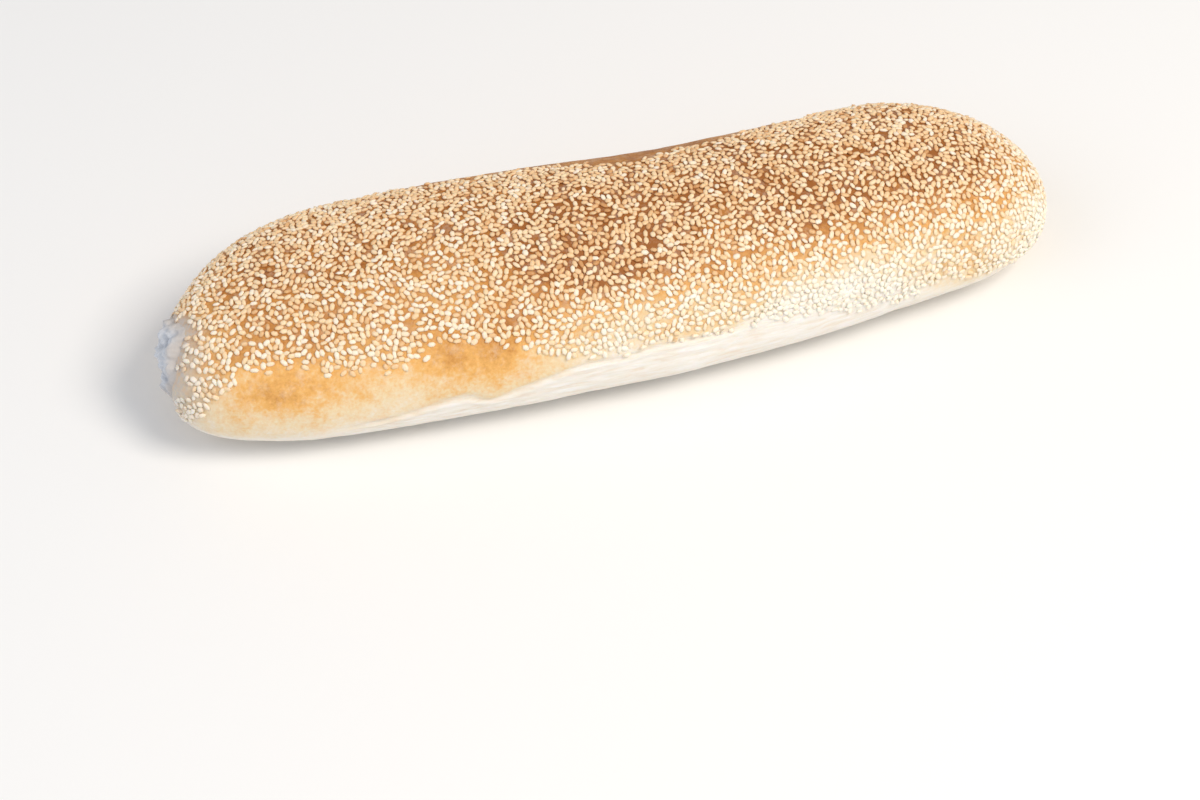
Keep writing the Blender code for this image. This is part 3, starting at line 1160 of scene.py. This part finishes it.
    def _join(
        self, kind: SeedKind, places: Array, normals: Array, towards: Array, scuff_and_shade: Array,
        tone: Array, draw: np.random.Generator,
    ) -> Piece:
        """Lays a seed at each place and joins them.

        Args:
            kind: Which seed.
            places: Where the seeds lie.
            normals: The crust's normals there.
            towards: The way to each seed's nearest neighbour.
            scuff_and_shade: How greyed the crust is there, by scuffs and painted shade.
            tone: How light each seed is for its kind, from 0 to 1.
            draw: The source of random numbers.

        Returns:
            The finished piece.
        """
        vertices, triangles = self._template()
        count = len(places)
        tilt = np.radians(self.tilt_degrees)
        normals = normals + draw.normal(0.0, tilt, (count, 3))
        normals /= np.linalg.norm(normals, axis=1, keepdims=True)
        side = np.cross(normals, towards)
        side /= np.linalg.norm(side, axis=1, keepdims=True)
        third = np.cross(normals, side)
        turn = np.radians(draw.normal(0.0, self.turn_degrees, (count, 1)))
        turn += np.pi * draw.integers(0, 2, (count, 1))
        side, third = (
            side * np.cos(turn) + third * np.sin(turn),
            third * np.cos(turn) - side * np.sin(turn),
        )
        size = np.clip(draw.normal(1.0, self.size_spread, (count, 3)), self.smallest, self.largest)
        lift = self.thickness * draw.uniform(*self.lift, count)
        local = vertices[None] * size[:, None]
        moved = (
            local[..., :1] * side[:, None]
            + local[..., 1:2] * third[:, None]
            + local[..., 2:] * normals[:, None]
            + (places + normals * lift[:, None])[:, None]
        )
        faces = (triangles[None] + np.arange(count)[:, None, None] * len(vertices)).reshape(-1, 3)
        name = f"{kind.name.lower()}_sesame_seeds"
        mesh = bpy.data.meshes.new(name)
        mesh.from_pydata(moved.reshape(-1, 3).tolist(), [], faces.tolist())
        mark(mesh, "tone", np.repeat(tone, len(vertices)))
        mark(mesh, "scuff_and_shade", np.repeat(scuff_and_shade, len(vertices)))
        mark(mesh, "along", np.tile(vertices[:, 0] / np.abs(vertices[:, 0]).max(), count))
        return add_piece(mesh, name, kind.value.material())


@dataclass(frozen=True)
class SoftLight:
    """A soft square light aimed at the loaf."""

    name: str
    place: Place
    size: float
    watts: float
    colour: Colour

    def build(self) -> None:
        """Adds the light."""
        data = bpy.data.lights.new(self.name, "AREA")
        data.shape = "SQUARE"
        data.size = self.size
        data.energy = self.watts
        data.color = self.colour[:3]
        light = bpy.data.objects.new(self.name, data)
        light.location = self.place
        light.rotation_euler = (-Vector(self.place)).to_track_quat("-Z", "Y").to_euler()
        bpy.context.scene.collection.objects.link(light)


@dataclass(frozen=True)
class Studio:
    """A pale floor, soft lights and the camera at the photograph's angle."""

    floor_size: float = 12.0
    floor_colour: Colour = linear("f3f3f2")
    floor_grain_mm: float = 90.0
    floor_roughness: Pair = (0.75, 0.85)
    sky: Colour = linear("f4f6fa")
    sky_strength: float = 0.54
    lights: tuple[SoftLight, ...] = (
        SoftLight("key light", (0.70, -0.74, 1.40), 0.7, 19.0, linear("fff6ea")),
        SoftLight("fill light", (-1.3, -0.3, 1.1), 1.4, 7.0, linear("eef3ff")),
    )
    aim: Place = (-0.0233, -0.0688, 0.030)
    azimuth: float = -15.57
    elevation: float = 48.0
    distance: float = 1.15
    lens_mm: float = 90.8
    nearest: float = 0.01

    def build(self) -> None:
        """Sets up everything that isn't part of the loaf."""
        self._floor()
        self._world()
        for light in self.lights:
            light.build()
        self._camera()
        bpy.context.scene.view_settings.view_transform = "Standard"

    def _floor(self) -> None:
        """A plain pale floor of satin-painted board."""
        shape = bmesh.new()
        bmesh.ops.create_grid(shape, x_segments=8, y_segments=8, size=self.floor_size / 2)
        mesh = mesh_from(shape, "floor")
        material, add = new_material("pale painted board")
        place = add("ShaderNodeTexCoord").outputs["Object"]
        grain = add("ShaderNodeTexNoise", {"Vector": place, "Scale": per_metre(self.floor_grain_mm)})
        smoothest, roughest = self.floor_roughness
        satin = add("ShaderNodeMapRange", {"Value": grain, "To Min": smoothest, "To Max": roughest})
        shader = add("ShaderNodeBsdfPrincipled", {"Base Color": self.floor_colour, "Roughness": satin})
        add("ShaderNodeOutputMaterial", {"Surface": shader})
        mesh.materials.append(material)
        floor = bpy.data.objects.new("floor", mesh)
        bpy.context.scene.collection.objects.link(floor)

    def _world(self) -> None:
        """Even pale light from all round."""
        world = bpy.data.worlds.new("studio")
        world.use_nodes = True
        background = world.node_tree.nodes["Background"]
        background.inputs["Color"].default_value = self.sky
        background.inputs["Strength"].default_value = self.sky_strength
        bpy.context.scene.world = world

    def _camera(self) -> None:
        """Looks down on the loaf as the photograph does."""
        a, e = math.radians(self.azimuth), math.radians(self.elevation)
        back = Vector((math.sin(a) * math.cos(e), -math.cos(a) * math.cos(e), math.sin(e)))
        data = bpy.data.cameras.new("camera")
        data.lens = self.lens_mm
        data.clip_start = self.nearest
        camera = bpy.data.objects.new("camera", data)
        camera.location = Vector(self.aim) + back * self.distance
        camera.rotation_euler = (-back).to_track_quat("-Z", "Y").to_euler()
        bpy.context.scene.collection.objects.link(camera)
        bpy.context.scene.camera = camera


def report(piece: Piece) -> None:
    """Logs one piece and its number of faces."""
    LOG.info("%s: %d faces", piece.name, len(piece.data.polygons))


def main() -> None:
    """Builds the loaf's pieces and the studio, in order."""
    logging.basicConfig(level=logging.INFO, format="%(name)s: %(message)s")
    form = LoafForm()
    tear = Tear(form)
    crust = Crust(form, BakeMap(), tear, BakedCrust()).build()
    report(crust)
    report(TornTip(crust, tear, TornCrumb()).build())
    for seeds in SeedCoat(crust).build():
        report(seeds)
    Studio().build()


if __name__ == "__main__":
    main()
